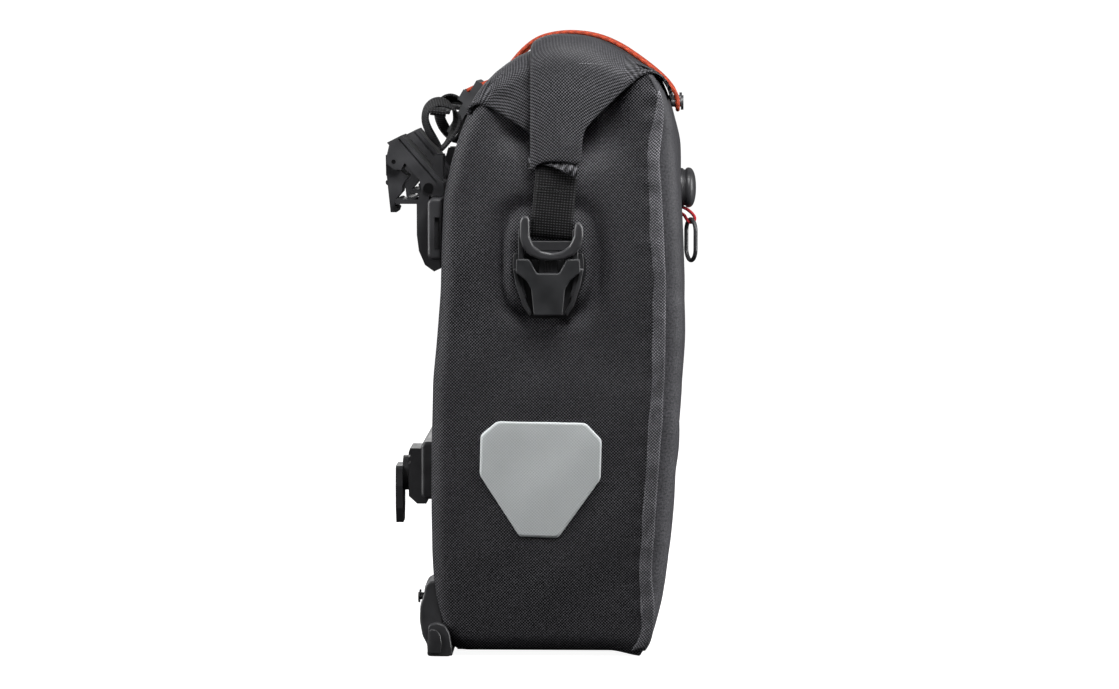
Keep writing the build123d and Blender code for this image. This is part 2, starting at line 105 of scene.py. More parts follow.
def nurbs_curve(name, points, radius):
    """A round cord near the points."""
    data = bpy.data.curves.new(name, "CURVE")
    data.dimensions = "3D"
    data.bevel_depth = 1.0
    data.bevel_resolution = 4
    data.use_fill_caps = True
    spline = data.splines.new("NURBS")
    spline.points.add(len(points) - 1)
    for place, point in zip(spline.points, points):
        place.co = (*(v * MM for v in point), 1.0)
        place.radius = radius * MM
    spline.order_u = 3
    spline.use_endpoint_u = True
    spline.resolution_u = 10
    return placed(name, data)


def make_elastic_cords():
    there = [(x, y, z) for x, _, y, z in CORD_LEGS]
    back = [(x, y, z) for _, x, y, z in reversed(CORD_LEGS)]
    cords = []
    for side, sign in SIDES:
        route = [(sign * x, y, z) for x, y, z in there + back]
        cord = nurbs_curve(f"bungee_{side}", route, CORD_DIAMETER / 2)
        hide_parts(f"elastic_cord_{side}")
        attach(cord, "bag")
        cords.append(cord)
    return cords


cords = make_elastic_cords()


# ---- stage ----
FLOOR_RADIUS, FLOOR_Z, FLOOR_GLOW = 3.0, -0.0006, 0.94
# The backdrop that the camera sees, and the light from low and from high.
BACKDROP, SKY_LOW, SKY_HIGH = 1.05, 0.012, 0.26
WHITE = (1, 1, 1, 1)
# Name, place, target, size, power, second size of a rectangle.
LIGHTS = [
    ("top", (-0.40, -0.12, 0.74), (-0.13, -0.02, 0.36), 0.26, 4.6),
    ("key", (-1.6, -1.0, 1.3), (0, 0, 0.34), 0.6, 1.2),
    ("rear_strip", (-0.35, 1.4, 0.6), (0, 0, 0.25), 0.3, 26, 1.2),
    ("front_strip", (-0.25, -1.6, 0.52), (0, 0, 0.18), 0.3, 32, 1.2),
    ("back", (1.6, 0.5, 0.9), (0, 0, 0.25), 1.0, 7),
]


def area_light(name, place, target, size, power, size_y=None):
    data = bpy.data.lights.new(name, "AREA")
    data.energy, data.size = power, size
    if size_y:
        data.shape, data.size_y = "RECTANGLE", size_y
    light = placed(name, data)
    light.location = place
    light.rotation_euler = (Vector(target) - Vector(place)).to_track_quat("-Z", "Y").to_euler()


def make_floor():
    bpy.ops.mesh.primitive_circle_add(vertices=96, radius=FLOOR_RADIUS, fill_type="NGON",
                                      location=(0, 0, FLOOR_Z))
    floor = bpy.context.object
    floor.name = "floor"
    floor.visible_diffuse = floor.visible_glossy = False
    material = bpy.data.materials.new("floor")
    material.use_nodes = True
    shader = material.node_tree.nodes["Principled BSDF"]
    for name, value in (("Base Color", (0.5, 0.5, 0.5, 1)), ("Roughness", 0.9),
                        ("Emission Color", WHITE), ("Emission Strength", FLOOR_GLOW)):
        shader.inputs[name].default_value = value
    floor.data.materials.append(material)


def make_world():
    """White to the camera, and a soft light that grows with height to everything else."""
    world = bpy.data.worlds.new("studio")
    bpy.context.scene.world = world
    world.use_nodes = True
    nodes, links = world.node_tree.nodes, world.node_tree.links
    seen, lit = nodes["Background"], nodes.new("ShaderNodeBackground")
    seen.inputs["Color"].default_value = WHITE
    seen.inputs["Strength"].default_value = BACKDROP
    place, split = nodes.new("ShaderNodeTexCoord"), nodes.new("ShaderNodeSeparateXYZ")
    height, ray = nodes.new("ShaderNodeMapRange"), nodes.new("ShaderNodeLightPath")
    for name, value in (("From Min", -0.5), ("From Max", 1.0), ("To Min", SKY_LOW), ("To Max", SKY_HIGH)):
        height.inputs[name].default_value = value
    mix = nodes.new("ShaderNodeMixShader")
    links.new(place.outputs["Generated"], split.inputs[0])
    links.new(split.outputs["Z"], height.inputs["Value"])
    links.new(height.outputs[0], lit.inputs["Strength"])
    for socket, source in zip(mix.inputs, (ray.outputs["Is Camera Ray"], lit.outputs[0], seen.outputs[0])):
        links.new(source, socket)
    links.new(mix.outputs[0], nodes["World Output"].inputs[0])


make_floor()
make_world()
for light in LIGHTS:
    area_light(*light)
bpy.context.scene.view_settings.view_transform = "Standard"


# ---- material helpers ----
class Shader:
    """A material with short calls for its nodes."""

    def __init__(self, name, specular, metal=0.0):
        self.material = bpy.data.materials.new(name)
        self.material.use_nodes = True
        self.tree = self.material.node_tree
        self.bsdf = self.tree.nodes["Principled BSDF"]
        self.bsdf.inputs["Metallic"].default_value = metal
        self.bsdf.inputs["Specular IOR Level"].default_value = specular

    def node(self, kind, inputs=(), **values):
        made = self.tree.nodes.new(kind)
        for key, value in values.items():
            setattr(made, key, value)
        for name, value in inputs:
            self.put(made.inputs[name], value)
        return made

    def put(self, socket, value):
        if isinstance(value, (int, float, tuple)):
            socket.default_value = value
        else:
            self.tree.links.new(value, socket)

    def cloth(self):
        """The piece's own cloth coordinates in millimetres."""
        return self.node("ShaderNodeAttribute", attribute_name="cloth").outputs["Vector"]

    def place(self):
        """The place in the piece's own axes, in millimetres."""
        here = self.node("ShaderNodeTexCoord").outputs["Object"]
        return self.node("ShaderNodeVectorMath", [(0, here), ("Scale", 1 / MM)], operation="SCALE").outputs[0]

    def height(self):
        return self.split(self.place())[2]

    def split(self, vector):
        return tuple(self.node("ShaderNodeSeparateXYZ", [(0, vector)]).outputs)

    def math(self, operation, a, b=0.0):
        return self.node("ShaderNodeMath", [(0, a), (1, b)], operation=operation).outputs[0]

    def times(self, value, *others):
        for other in others:
            value = self.math("MULTIPLY", value, other)
        return value

    def plus(self, value, *others):
        for other in others:
            value = self.math("ADD", value, other)
        return value

    def wave(self, value, length):
        return self.math("SINE", self.times(value, 2 * math.pi / length))

    def crossings(self, length):
        """Waves along both directions of the cloth, multiplied."""
        u, v, _ = self.split(self.cloth())
        return self.times(self.wave(u, length), self.wave(v, length))

    def noise(self, vector, scale, detail=2.0, rough=0.5):
        inputs = ("Vector", vector), ("Scale", scale), ("Detail", detail), ("Roughness", rough)
        return self.node("ShaderNodeTexNoise", inputs).outputs["Fac"]

    def stretch(self, value, low, high, to_low=0.0, to_high=1.0):
        ends = zip(("From Min", "From Max", "To Min", "To Max"), (low, high, to_low, to_high))
        return self.node("ShaderNodeMapRange", [("Value", value), *ends]).outputs[0]

    def mix(self, share, a, b):
        made = self.node("ShaderNodeMix", data_type="RGBA")
        self.put(made.inputs["Factor"], share)
        for socket, value in zip((s for s in made.inputs if s.type == "RGBA"), (a, b)):
            self.put(socket, (*value, 1.0))
        return next(s for s in made.outputs if s.type == "RGBA")

    def colour(self, value):
        self.put(self.bsdf.inputs["Base Color"], value)

    def rough(self, value):
        self.put(self.bsdf.inputs["Roughness"], value)

    def bump(self, height, distance):
        inputs = ("Height", height), ("Distance", distance * MM), ("Strength", 1.0)
        self.put(self.bsdf.inputs["Normal"], self.node("ShaderNodeBump", inputs).outputs[0])


# ---- materials ----
# Sizes of the patterns.
WEAVE_CELL, CLOTH_GRAIN, RIB, RIB_FLOAT, BRAID_PITCH = 2.1, 1.1, 1.75, 1.9, 2.2
# Between these heights, the second near the roof's top, the weave gets smoother, and its colour darker:
# painted shade on the roof's top.
ROOF_HEIGHTS = (386.0, 414.0)
# Between these heights the coated fabric gets darker: painted light low down and painted shade towards the
# top.
COATED_HEIGHTS = (60.0, 380.0)
# The middle tone of the weave.
YARN_MEAN = 0.42


def weave_fabric(name, dark, light, patches=(0.02, 0.85, 1.1)):
    """Coated weave, raised crossings on a darker ground. Patches: how fine, darkest, lightest."""
    s = Shader(name, specular=0.17)
    slub = s.noise(s.cloth(), 0.35)
    yarn = s.stretch(s.plus(s.crossings(WEAVE_CELL), s.times(slub, 0.4)), 0.0, 0.75)
    height = s.height()
    worn = s.stretch(height, *ROOF_HEIGHTS, 1.0, 0.4)
    yarn = s.plus(YARN_MEAN, s.times(s.math("SUBTRACT", yarn, YARN_MEAN), worn))
    size, low, high = patches
    # Random patches of tone; on the weld band they are painted highlights with painted shade between.
    mottle_and_highlight = s.noise(s.cloth(), size, 3.0, 0.6)
    fine = s.noise(s.cloth(), 0.7)
    # The last factor is painted shade, darkening the colour towards the roof's top.
    tone = s.times(yarn, s.stretch(fine, 0.25, 0.75, 0.6, 1.15), s.stretch(mottle_and_highlight, 0.3, 0.7, low, high),
                   s.stretch(height, *ROOF_HEIGHTS, 1.0, 0.7))
    s.colour(s.mix(tone, dark, light))
    s.rough(s.stretch(fine, 0.2, 0.8, 0.48, 0.64))
    s.bump(s.plus(yarn, s.times(fine, 0.12)), 0.16)
    return s.material


def coated_fabric(name, dark, light):
    """Smooth tarpaulin: fine mottle with a faint cloth grain."""
    s = Shader(name, specular=0.22)
    grain = s.crossings(CLOTH_GRAIN)
    fine = s.noise(s.cloth(), 0.7, 4.0, 0.65)
    broad = s.noise(s.cloth(), 0.03, 3.0)
    tone = s.plus(s.stretch(fine, 0.3, 0.7), s.times(grain, 0.12))
    # The last factor is painted light low on the panel and painted shade higher up.
    tone = s.times(tone, s.stretch(broad, 0.3, 0.7, 0.75, 1.1),
                   s.stretch(s.height(), *COATED_HEIGHTS, 1.2, 0.55))
    s.colour(s.mix(tone, dark, light))
    s.rough(s.stretch(fine, 0.2, 0.8, 0.5, 0.66))
    s.bump(s.plus(fine, s.times(grain, 0.3)), 0.1)
    return s.material


def webbing(name, dark, light):
    """Ribbed strap: u runs along the strap, v across it, with floats staggered row by row."""
    s = Shader(name, specular=0.25)
    u, v, _ = s.split(s.cloth())
    ribs = s.stretch(s.wave(u, RIB), -0.5, 0.9)
    floats = s.stretch(s.wave(v, RIB_FLOAT), -0.6, 0.8)
    fuzz = s.noise(s.cloth(), 1.4, 3.0, 0.7)
    thread = s.times(ribs, s.stretch(floats, 0, 1, 0.12, 1.0))
    s.colour(s.mix(s.times(thread, s.stretch(fuzz, 0.2, 0.8, 0.6, 1.1)), dark, light))
    s.rough(0.72)
    s.bump(s.plus(thread, s.times(fuzz, 0.3)), 0.35)
    return s.material


def moulded(name, colour, rough):
    """Moulded plastic: spark-eroded grain, slightly polished by handling."""
    s = Shader(name, specular=0.45)
    fine = s.noise(s.place(), 1.6, 3.0, 0.6)
    broad = s.noise(s.place(), 0.06, 3.0)
    lighter = tuple(min(1.0, c * 1.7 + 0.004) for c in colour)
    s.colour(s.mix(s.stretch(broad, 0.3, 0.75), colour, lighter))
    s.rough(s.stretch(broad, 0.3, 0.7, rough - 0.06, rough + 0.1))
    s.bump(fine, 0.025)
    return s.material


def reflective_film(name):
    """Glass-bead film: pale grey, with the weave below it showing through."""
    s = Shader(name, specular=0.4)
    pressed = s.crossings(WEAVE_CELL)
    speck = s.noise(s.cloth(), 1.2, 3.0, 0.7)
    broad = s.noise(s.cloth(), 0.05, 3.0)
    tone = s.plus(s.stretch(pressed, -1.0, 1.0, 0.0, 0.62), s.times(speck, 0.25), s.times(broad, 0.25))
    s.colour(s.mix(tone, (0.43, 0.452, 0.458), (0.72, 0.75, 0.757)))
    s.rough(s.stretch(speck, 0.2, 0.8, 0.4, 0.58))
    s.bump(pressed, 0.06)
    return s.material


def metal(name, colour):
    """Plated or blackened steel, unevenly polished."""
    s = Shader(name, specular=0.5, metal=1.0)
    fine = s.noise(s.place(), 0.8, 4.0, 0.7)
    s.colour(s.mix(fine, tuple(c * 0.75 for c in colour), colour))
    s.rough(s.stretch(fine, 0.2, 0.8, 0.25, 0.42))
    s.bump(fine, 0.02)
    return s.material


def braid(name, dark, light):
    """Braided cord sheath: strands that cross, from the place."""
    s = Shader(name, specular=0.35)
    x, y, z = s.split(s.place())
    along, aside = s.plus(s.times(y, 0.9), s.times(z, 0.6)), s.times(x, 0.9)
    a, b = (s.wave(s.math(way, along, aside), BRAID_PITCH) for way in ("ADD", "SUBTRACT"))
    strand = s.stretch(s.times(a, b), -0.8, 0.8)
    fuzz = s.noise(s.place(), 1.5, 3.0)
    s.colour(s.mix(s.times(strand, s.stretch(fuzz, 0.2, 0.8, 0.7, 1.1)), dark, light))
    s.rough(0.7)
    s.bump(s.plus(strand, s.times(fuzz, 0.4)), 0.25)
    return s.material


WEAVE = weave_fabric("side_fabric", (0.0015, 0.0015, 0.002), (0.117, 0.116, 0.127))
COATED = coated_fabric("front_fabric", (0.018, 0.018, 0.020), (0.102, 0.101, 0.111))
# The weld band: the lap's own lighter colour, raised further as a painted highlight on its convex fold, with
# patches of painted highlight and painted shade.
BAND = weave_fabric("weld_band", (0.030, 0.030, 0.033), (0.290, 0.286, 0.310), (0.045, 0.45, 1.15))
WEBBING = webbing("strap_webbing", (0.001, 0.001, 0.0012), (0.046, 0.046, 0.050))
PLASTIC = moulded("black_plastic", (0.026, 0.026, 0.028), rough=0.36)
GREY_PLASTIC = moulded("dark_grey_plastic", (0.019, 0.0195, 0.021), rough=0.46)
SHEET_PLASTIC = moulded("sheet_plastic", (0.08, 0.08, 0.085), rough=0.5)
PATCH = coated_fabric("patch_fabric", (0.008, 0.008, 0.009), (0.024, 0.024, 0.026))
FILM = reflective_film("reflective_film")
STEEL = metal("zinc_steel", (0.34, 0.34, 0.35))
BLACK_STEEL = metal("blackened_steel", (0.05, 0.05, 0.052))
ORANGE = braid("orange_braid", (0.15, 0.014, 0.005), (0.50, 0.062, 0.017))
RED = braid("red_braid", (0.25, 0.008, 0.012), (0.62, 0.02, 0.035))
THREAD = moulded("black_thread", (0.010, 0.010, 0.011), rough=0.6)
PALE_THREAD = moulded("grey_thread", (0.11, 0.11, 0.115), rough=0.6)

SLOT_MATERIAL = {
    "fabric_side": WEAVE, "fabric_front": COATED, "webbing": WEBBING, "black_plastic": PLASTIC,
    "dark_grey_plastic": GREY_PLASTIC, "stiffener_plastic": SHEET_PLASTIC, "welded_patch": PATCH,
    "reflective": FILM, "steel": STEEL, "orange_cord": ORANGE, "red_cord": RED,
}


def dress(piece, material):
    piece.data.materials.clear()
    piece.data.materials.append(material)


def dress_cad():
    for part in frame["record"]["subparts"]:
        name = part["node"]
        blackened = name.startswith(("hook_bolt", "jaw_pin", "jaw_spring", "protector_rivets"))
        for slot in NODES[name].material_slots:
            slot.material = BLACK_STEEL if blackened else SLOT_MATERIAL[part["material_slot"]]


dress_cad()
for cord in cords:
    dress(cord, ORANGE)


# ---- mesh helpers ----
def shade(mesh, smooth):
    mesh.polygons.foreach_set("use_smooth", [smooth] * len(mesh.polygons))


def grid_object(name, grid, cloth=None, wrap=False, flip=False, cap=False):
    """A sheet from rows x columns of points; cloth gives (u, v) in millimetres for each point."""
    rows, cols = grid.shape[:2]
    faces = []
    for i in range(rows - 1):
        for j in range(cols if wrap else cols - 1):
            k = (j + 1) % cols
            faces.append([i * cols + j, i * cols + k, (i + 1) * cols + k, (i + 1) * cols + j])
    if cap:
        faces.append([(rows - 1) * cols + j for j in range(cols)])
    if flip:
        faces = [face[::-1] for face in faces]
    mesh = bpy.data.meshes.new(name)
    mesh.from_pydata([tuple(float(c) * MM for c in point) for point in grid.reshape(-1, 3)], [], faces)
    flat = np.zeros((rows * cols, 3), np.float32)
    flat[:, :2] = (arc_lengths(grid) if cloth is None else cloth).reshape(-1, 2)
    mesh.attributes.new("cloth", "FLOAT_VECTOR", "POINT").data.foreach_set("vector", flat.ravel())
    shade(mesh, True)
    mesh.update()
    return placed(name, mesh)


def arc_lengths(grid):
    """Lengths across, from each row's middle, and along, from the first row: a weave keeps its size."""
    across = np.zeros(grid.shape[:2])
    across[:, 1:] = np.cumsum(np.linalg.norm(np.diff(grid, axis=1), axis=2), axis=1)
    across -= across[:, [across.shape[1] // 2]]
    along = np.zeros(grid.shape[:2])
    along[1:, :] = np.cumsum(np.linalg.norm(np.diff(grid, axis=0), axis=2), axis=0)
    return np.stack([across, along], axis=-1)


def thick(piece, thickness, offset=-1.0):
    """The same piece with a thickness, which goes inwards at offset -1 and both ways at 0."""
    modifier = piece.modifiers.new("thickness", "SOLIDIFY")
    modifier.thickness, modifier.offset = thickness * MM, offset
    graph = bpy.context.evaluated_depsgraph_get()
    mesh = bpy.data.meshes.new_from_object(piece.evaluated_get(graph))
    piece.modifiers.clear()
    old, piece.data = piece.data, mesh
    bpy.data.meshes.remove(old)
    return piece


def lengths(path):
    """The length along a path of points, up to each of them."""
    return np.concatenate([[0], np.cumsum(np.linalg.norm(np.diff(path, axis=0), axis=1))])


def softened(rows, passes):
    """The rows with each but the ends averaged with its neighbours."""
    for _ in range(passes):
        rows[1:-1] = (rows[:-2] + 2 * rows[1:-1] + rows[2:]) / 4
    return rows


def smooth_noise(shape, cells, seed):
    """Seeded value noise on a grid, between about -1 and 1."""
    source = np.random.default_rng(seed).normal(size=(cells[0] + 3, cells[1] + 3))
    y = np.linspace(0, cells[0], shape[0])
    x = np.linspace(0, cells[1], shape[1])
    iy, ix = np.floor(y).astype(int), np.floor(x).astype(int)
    fy, fx = y - iy, x - ix
    fy, fx = fy * fy * (3 - 2 * fy), fx * fx * (3 - 2 * fx)
    a = source[iy][:, ix] * (1 - fx) + source[iy][:, ix + 1] * fx
    b = source[iy + 1][:, ix] * (1 - fx) + source[iy + 1][:, ix + 1] * fx
    return (a * (1 - fy)[:, None] + b * fy[:, None]) * 0.7


def bell(value, centre, width):
    """1 at the centre, falling smoothly to nothing."""
    return np.exp(-(((value - centre) / width) ** 2))


def step(value, low, high):
    """0 up to low, 1 from high on, and smooth between."""
    t = np.clip((value - low) / (high - low), 0, 1)
    return t * t * (3 - 2 * t)


def rounded_outline(corners, radius, steps=5):
    """A polygon with each corner replaced by a short quadratic curve."""
    points = []
    for k, corner in enumerate(corners):
        corner = np.array(corner, float)
        before, after = (np.array(corners[j % len(corners)], float) - corner for j in (k - 1, k + 1))
        a, b = (corner + d * min(radius / np.linalg.norm(d), 0.45) for d in (before, after))
        for t in np.linspace(0, 1, steps):
            points.append(a * (1 - t) ** 2 + corner * 2 * t * (1 - t) + b * t ** 2)
    return np.array(points)


def finish(piece, body, slot, *replaced, material=None):
    """Gives a piece its look, its body if one is given, its slot and the nodes it stands for."""
    dress(piece, material or SLOT_MATERIAL[slot])
    if body:
        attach(piece, body)
    if replaced:
        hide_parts(*replaced)


# ---- bag outline ----
# Half of the width at FLARE_Z, and how much it grows per millimetre of height.
FLARE_Z, HALF_WIDTH_LOW, FLARE = 10.0, 115.0, 35.0 / 390.0
# Height, y of the front, y of the rear.
OUTLINE = np.array([
    (0, -68, 58), (5, -73, 62), (12, -76.4, 66.5), (25, -80.6, 70), (40, -84.2, 73), (70, -88.4, 74.6),
    (100, -90.8, 74.9), (145, -93.9, 74.4), (190, -96.2, 73), (215, -97, 70.4), (250, -97.2, 67.4),
    (285, -95.9, 66.2), (315, -94.3, 64.6), (341, -92.6, 58.6), (358, -91, 53), (371, -89.2, 47.5),
    (385, -84.6, 42), (397, -78, 36),
])


# The outline is averaged over this height both ways, which rounds its corners.
OUTLINE_BLUR = 5.0
TUCK, TUCK_HEIGHT = 3.2, 14.0
FLOOR_GAP = 3.8


def outline_at(z, column):
    levels = OUTLINE[:, 0]
    samples = [np.interp(np.clip(z + d, 0, levels[-1]), levels, OUTLINE[:, column])
               for d in np.linspace(-OUTLINE_BLUR, OUTLINE_BLUR, 9)]
    return np.mean(samples, axis=0)


def half_width(z):
    """Half of the bag's width at height z, tucked in a little where it meets the floor."""
    return HALF_WIDTH_LOW + (z - FLARE_Z) * FLARE - TUCK * np.clip(1 - z / TUCK_HEIGHT, 0, 1) ** 2


def underside(y):
    """How far the bottom clears the floor behind its front edge."""
    return FLOOR_GAP * step(y, -69.0, -46.0)


FRONT_CORNER_X, REAR_CORNER, SHOULDER_Z = 12.0, 11.0, 396.0
# How much further back the front face lies at its corners, and its points.
FACE_BOW, FACE_POINTS, CORNER_POINTS = 1.5, 41, 10
# How far the front panel turns back along the side, and how much less at its ends.
WRAP, SHOULDER_LESS, FOOT_LESS = 14.5, 9.0, 12.5
FABRIC = 1.2


def front_wrap(z):
    return WRAP - SHOULDER_LESS * step(z, 335, 388) - FOOT_LESS * (1 - step(z, 0, 75))


def front_section(z):
    """Half of the front wall at height z: from the middle to the left seam on the side."""
    flat, face = half_width(z) - FRONT_CORNER_X, outline_at(z, 1)
    shares = [i / (FACE_POINTS - 1) for i in range(FACE_POINTS)]
    rows = [(-flat * share, face + FACE_BOW * share ** 2) for share in shares]
    edge = rows[-1][1]
    for k in range(1, CORNER_POINTS + 1):
        angle = k / CORNER_POINTS * math.pi / 2
        back = front_wrap(z) * (1 - math.cos(angle))
        rows.append((-flat - FRONT_CORNER_X * math.sin(angle), edge + back))
    return rows


def seam_y(z):
    return outline_at(z, 1) + FACE_BOW + front_wrap(z)


def stacked(levels, row):
    """A grid with a row of (x, y, z) for each level."""
    return np.array([np.stack(np.broadcast_arrays(*row(level)), axis=-1) for level in levels], float)


def panel(name, grid, slot, node, flip=True, cloth=None):
    finish(thick(grid_object(name, grid, cloth, flip=flip), FABRIC), "bag", slot, node)


def make_front_shell():
    """Front wall with its corners wrapped round to the welded side seams."""
    grid = []
    for z in np.linspace(0, SHOULDER_Z, 120):
        half = front_section(z)
        grid.append([(-x, y, z) for x, y in reversed(half)] + [(x, y, z) for x, y in half[1:]])
    grid = np.array(grid)
    x, z = grid[..., 0], grid[..., 2]
    share = np.abs(x) / half_width(z)
    ripple = smooth_noise(grid.shape[:2], (9, 6), 11)
    grid[..., 1] -= 2.2 * ripple * step(z, 20, 120) * (1 - share ** 4) * (1 - step(z, 345, 374))
    near_edge = step(share, 0.86, 0.97)
    pucker = smooth_noise(grid.shape[:2], (46, 3), 12)
    grid[..., 1] -= 0.4 * pucker * near_edge * (1 - step(z, 360, 396))
    panel("front_shell", grid, "fabric_front", "front_panel")


make_front_shell()


# ---- side gussets ----
def field(seed, long_y, long_z):
    """Seeded smooth noise as a function of y and z, between about -1 and 1."""
    source, waves = np.random.default_rng(seed), 9
    turn_y, turn_z = (source.normal(size=waves) * 2 * math.pi / long / 1.6 for long in (long_y, long_z))
    start = source.uniform(0, 2 * math.pi, waves)

    def value(y, z):
        return sum(np.sin(a * y + b * z + c) for a, b, c in zip(turn_y, turn_z, start)) / waves ** 0.5 * 0.8

    return value


# Waves of each side's wall and puckers along its seam, by sign.
SOFT = {1: field(3, 90, 150), -1: field(4, 90, 150)}
PUCKER = {1: field(5, 26, 15), -1: field(6, 26, 15)}
# The groove in the side round the buckle.
GROOVE_Y, GROOVE_Z, GROOVE_HALF_Y, GROOVE_HALF_Z = -5, 272, 33.0, 38.0
GROOVE_POWER, GROOVE_DEPTH, GROOVE_WIDTH = 3.4, 4.5, 0.16
# Depths of the fold below the roll and of the hollows beside it.
VALLEY, FRONT_HOLLOW, REAR_HOLLOW = 21.0, 11.0, 7.0
# y, and the roof's height there.
ROOF = ([-88, -78, -60, -40, -12, 5, 22, 36, 48], [384, 397, 406, 416, 420, 412, 403, 391, 373])
# The side's top stays this far below the roof, and up to FOOT_HEIGHT it follows the underside.
ROOF_GAP, FOOT_HEIGHT = 4.0, 20


def gusset_x(y, z, sign):
    """Distance of a side wall from the middle, with the fold pushed in under the roll."""
    front, rear = seam_y(z), outline_at(z, 2)
    middle = (front + rear) / 2
    share = np.clip((y - middle) / ((rear - front) / 2), -1, 1)
    belly = 2.0 * (1 - share ** 2) * step(z, 10, 80) * (1 - step(z, 170, 222))
    valley = VALLEY * bell(y, -14, 25) * step(z, 322, 372)
    front_hollow = FRONT_HOLLOW * bell(y, -38, 17) * step(z, 330, 366)
    rear_hollow = REAR_HOLLOW * bell(y, 18, 14) * step(z, 338, 366)
    ring = (np.abs((y - GROOVE_Y) / GROOVE_HALF_Y) ** GROOVE_POWER
            + np.abs((z - GROOVE_Z) / GROOVE_HALF_Z) ** GROOVE_POWER) ** (1 / GROOVE_POWER)
    drawn_in = GROOVE_DEPTH * bell(ring, 1.0, GROOVE_WIDTH) * (1 - 0.35 * step(z, 300, 318))
    away = 1 - bell(y, -6, 30) * bell(z, 255, 45)
    soft = 1.1 * SOFT[sign](y, z) * step(z, 15, 60) * away * (0.1 + 0.9 * step(y - front, 4, 30))
    seam = 0.55 * PUCKER[sign](y, z) * bell(y - front, 3, 10) * step(z, 20, 50)
    return half_width(z) + belly - valley - front_hollow - rear_hollow - drawn_in + soft + seam


def make_gusset(side, sign):
    levels = np.concatenate([np.linspace(0, 300, 130), np.linspace(302, 398, 64)])
    across = np.linspace(0, 1, 84)
    turn = np.linspace(0, math.pi / 2, 9)[1:]

    def row(z):
        front, rear = seam_y(z), outline_at(z, 2)
        y = front + (rear - REAR_CORNER - front) * across
        x = gusset_x(y, z, sign)
        corner_y = rear - REAR_CORNER + REAR_CORNER * np.sin(turn)
        corner_x = x[-1] - REAR_CORNER * (1 - np.cos(turn))
        return -sign * np.concatenate([x, corner_x]), np.concatenate([y, corner_y]), z

    grid = stacked(levels, row)
    y, z = grid[..., 1], grid[..., 2]
    lift, under_roof = underside(y), np.interp(y, *ROOF) - ROOF_GAP
    foot = lift + (FOOT_HEIGHT - lift) * z / FOOT_HEIGHT
    grid[..., 2] = np.where(z < FOOT_HEIGHT, foot, np.minimum(z, under_roof))
    cloth = np.stack([grid[..., 1], grid[..., 2]], axis=-1)
    panel(f"gusset_{side}", grid, "fabric_side", f"side_panel_{side}", sign > 0, cloth)


both_sides(make_gusset)


# ---- back and bottom ----
def make_back_shell():
    across = np.linspace(-1, 1, 61)

    def row(z):
        rear = outline_at(z, 2)
        hollow = 2.0 * (1 - step(np.abs(across), 0.72, 0.96)) * bell(z, 130, 110)
        return across * (half_width(z) - REAR_CORNER), rear - hollow, max(z, underside(rear)) if z < 10 else z

    grid = stacked(np.linspace(0, 372, 110), row)
    z = grid[..., 2]
    ripple = smooth_noise(grid.shape[:2], (8, 7), 41)
    free = step(np.abs(z - 123), 26, 40) * step(np.abs(z - 292), 27, 40) * (1 - step(z, 335, 350))
    grid[..., 1] -= 0.35 * (1 + ripple) * free * step(z, 55, 70)
    panel("back_shell", grid, "fabric_side", "back_panel")


def make_bottom_shell():
    across = np.linspace(-1, 1, 50)
    x = across * (half_width(2) - 1.0)
    grid = stacked(np.linspace(-65.5, 57.5, 30), lambda y: (x, y, underside(y) + 0.3))
    rise = smooth_noise(grid.shape[:2], (4, 6), 51)
    grid[..., 2] += 0.8 * np.abs(rise) * (1 - np.abs(across[None, :]) ** 3)
    panel("bottom_shell", grid, "fabric_side", "bottom_panel")


make_back_shell()
make_bottom_shell()


# ---- folded top ----
# The front sheet runs from the front shoulder over the roll, whose ends drape down both sides.
# Rows: y, height of the roof, height of the draped edge, distance below the outer layer if any.
FRONT_SHEET = [
    (-88.4, 379.6, 379.6), (-86, 387.4, 387.4), (-82.4, 393.2, 393), (-78, 397, 396.4),
    (-72.8, 400.4, 397.6), (-68.6, 402.6, 396.2), (-61.4, 406.8, 391.8), (-54.5, 411.4, 386),
    (-47.8, 415, 379.5), (-38, 419.4, 370), (-32, 421.2, 363.6), (-28.9, 421.9, 359.4),
    (-27.7, 422.1, 341), (-26.9, 422.2, 337.2), (-20, 422.9, 338.8), (-12, 423.1, 339.8),
    (-4, 421.9, 339.6), (0.5, 420.2, 338.4), (3.4, 418.6, 335.6), (5.6, 417.2, 333.8, 0.4),
    (6.9, 416, 333.8, 3), (6, 415.8, 334.8, 5.2), (3.6, 416, 337, 6.2), (-4, 417.6, 339.8, 6.6),
    (-12, 418, 340.2, 6.6),
]
# The roll's inner turn shows at its rear edge and below its ends.
INNER_TURN = [
    (-25.4, 421.6, 327.4, 2.2), (-22, 422, 329, 2.2), (-16, 422.4, 332.2, 2.6),
    (-9, 422, 335.2, 2.8), (-3, 421.4, 336.8, 3), (1, 419.4, 337, 3.2), (3, 418.4, 337.4, 3.6),
    (3.2, 417.9, 337.8, 4.4), (1, 417.6, 338.4, 5), (-6, 418.2, 340, 5),
]
REAR_SHEET = [
    (48.2, 369.6, 369.4), (47.2, 373, 372.2), (44.6, 379, 375.4), (41, 385, 376.7),
    (36.6, 390.6, 376.6), (30.4, 397, 374.4), (22.4, 403.2, 369.4), (14.7, 408.2, 364.6),
    (5.3, 412.4, 358), (-2, 413.4, 353.6), (-9, 413.6, 349),
]
# y, and how far the roof reaches there before it drops.
FRONT_REACH = ([-87, -82, -78, -70, -55, -40, -27, -15, 7],
               [141, 145.5, 148, 150.4, 153.2, 155.4, 156.9, 157.6, 157.4])
REAR_REACH = ([-9, 20, 40, 48.5], [150.5, 150.0, 147.5, 143.0])
# Points across the roof, down the drop, round the rolled edge and up its tail.
ROOF_POINTS, DROP_POINTS, CURL_POINTS, TAIL_POINTS = 11, 28, 5, 2
CURL, TAIL_STEP = 1.6, 3.4
# The sunk line above the edge, in front of HEM_Y only.
HEM_UP, HEM_WIDTH, HEM_DEPTH, HEM_Y = 3.6, 1.1, 0.5, -28.5


